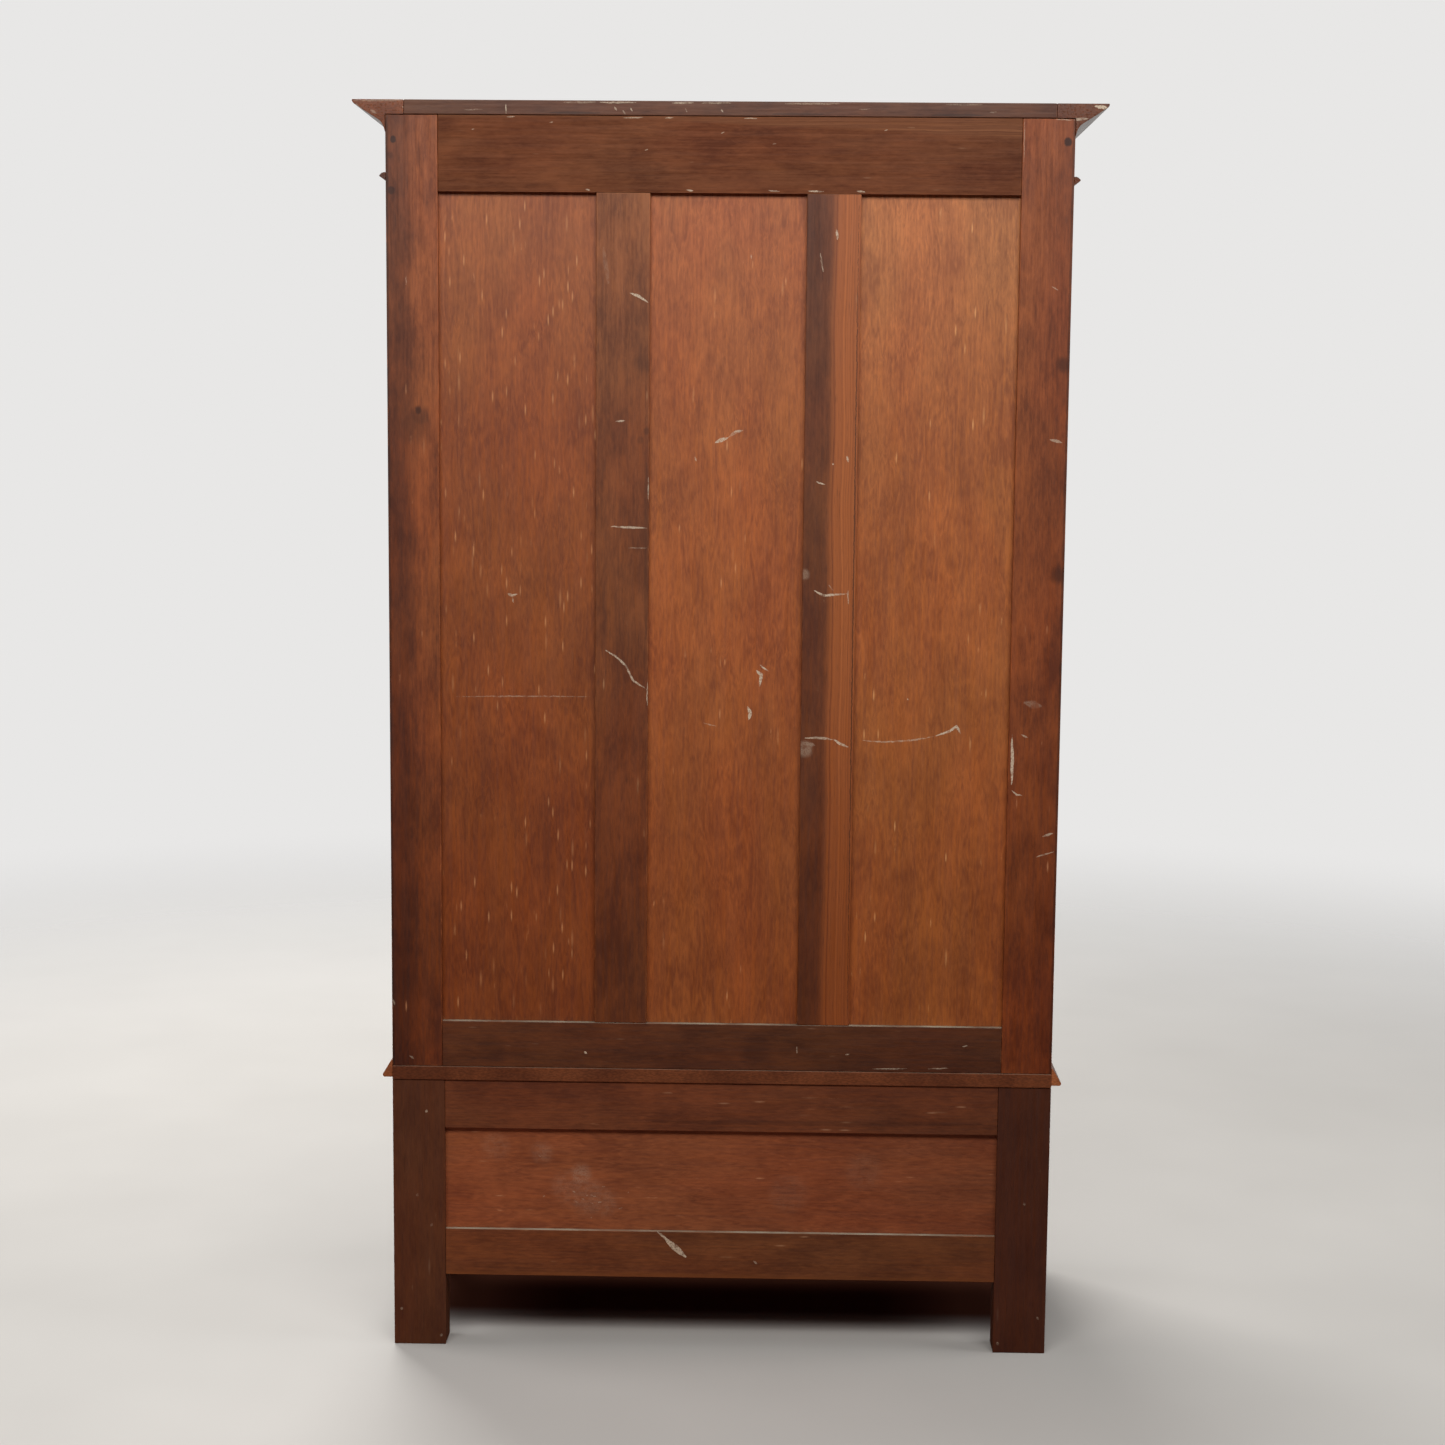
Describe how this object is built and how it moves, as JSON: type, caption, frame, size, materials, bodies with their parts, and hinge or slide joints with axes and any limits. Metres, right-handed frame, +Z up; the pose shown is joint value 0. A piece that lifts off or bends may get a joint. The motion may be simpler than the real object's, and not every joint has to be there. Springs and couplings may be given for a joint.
{
  "type": "curio cabinet",
  "caption": "Tall glazed curio cabinet with framed plywood back, moulded cornice, shelves behind hinged glass doors, and a drawer in its legged base.",
  "frame": {"origin": "on the floor, under the centre of the whole cabinet's bounding box", "axes": "+Z up; the doors face -Y and the framed back faces +Y; +X to the right as seen from the front"},
  "size_m": [1.052, 0.446, 1.8],
  "materials": {
    "polished_wood": "dark red-brown mahogany, french-polished show faces, satin",
    "back_wood": "stained mahogany frame members of the back, dull, scuffed",
    "back_plywood": "orange-brown stained plywood, matt, pale flecks",
    "bare_wood": "unfinished softwood inside the drawer",
    "glass": "clear sheet glass",
    "brass": "aged brass"
  },
  "bodies": {
    "case": {"base_end_left": "polished_wood", "base_end_right": "polished_wood", "base_front_rail": "polished_wood", "base_rear_bottom_rail": "back_wood", "base_rear_panel": "back_plywood", "base_rear_top_rail": "back_wood", "base_top_board": "polished_wood", "case_floor": "polished_wood", "cornice_front": "polished_wood", "cornice_left": "polished_wood", "cornice_right": "polished_wood", "drawer_runner_left": "bare_wood", "drawer_runner_right": "bare_wood", "frieze_bead": "polished_wood", "frieze_rail": "polished_wood", "front_post_left": "polished_wood", "front_post_right": "polished_wood", "hinge_left_lower": "brass", "hinge_left_upper": "brass", "hinge_right_lower": "brass", "hinge_right_upper": "brass", "leg_front_left": "polished_wood", "leg_front_right": "polished_wood", "leg_rear_left": "back_wood", "leg_rear_right": "back_wood", "rear_bottom_rail": "back_wood", "rear_muntin_left": "back_wood", "rear_muntin_right": "back_wood", "rear_panel_centre": "back_plywood", "rear_panel_left": "back_plywood", "rear_panel_right": "back_plywood", "rear_stile_left": "back_wood", "rear_stile_right": "back_wood", "rear_top_rail": "back_wood", "shelf_lower": "polished_wood", "shelf_middle": "polished_wood", "shelf_upper": "polished_wood", "side_bottom_rail_left": "polished_wood", "side_bottom_rail_right": "polished_wood", "side_glass_left": "glass", "side_glass_right": "glass", "side_top_rail_left": "polished_wood", "side_top_rail_right": "polished_wood", "top_board": "back_wood", "waist_moulding": "polished_wood"},
    "door_left": {"door_left_bottom_rail": "polished_wood", "door_left_glass": "glass", "door_left_hinge_stile": "polished_wood", "door_left_meeting_stile": "polished_wood", "door_left_top_rail": "polished_wood"},
    "door_right": {"door_right_bottom_rail": "polished_wood", "door_right_glass": "glass", "door_right_hinge_stile": "polished_wood", "door_right_meeting_stile": "polished_wood", "door_right_top_rail": "polished_wood", "door_knob": "brass"},
    "drawer": {"drawer_front": "polished_wood", "drawer_box": "bare_wood", "drawer_knob_left": "brass", "drawer_knob_right": "brass"}
  },
  "joints": [
    {"name": "door_left_swing", "type": "hinge", "parent": "case", "child": "door_left", "pos_m": [-0.439, -0.1814, 1], "axis": [0, 0, -1], "range_deg": [0, 110]},
    {"name": "door_right_swing", "type": "hinge", "parent": "case", "child": "door_right", "pos_m": [0.439, -0.1814, 1], "axis": [0, 0, 1], "range_deg": [0, 110]},
    {"name": "drawer_slide", "type": "slide", "parent": "case", "child": "drawer", "axis": [0, -1, 0], "range_m": [0, 0.27]}
  ]
}
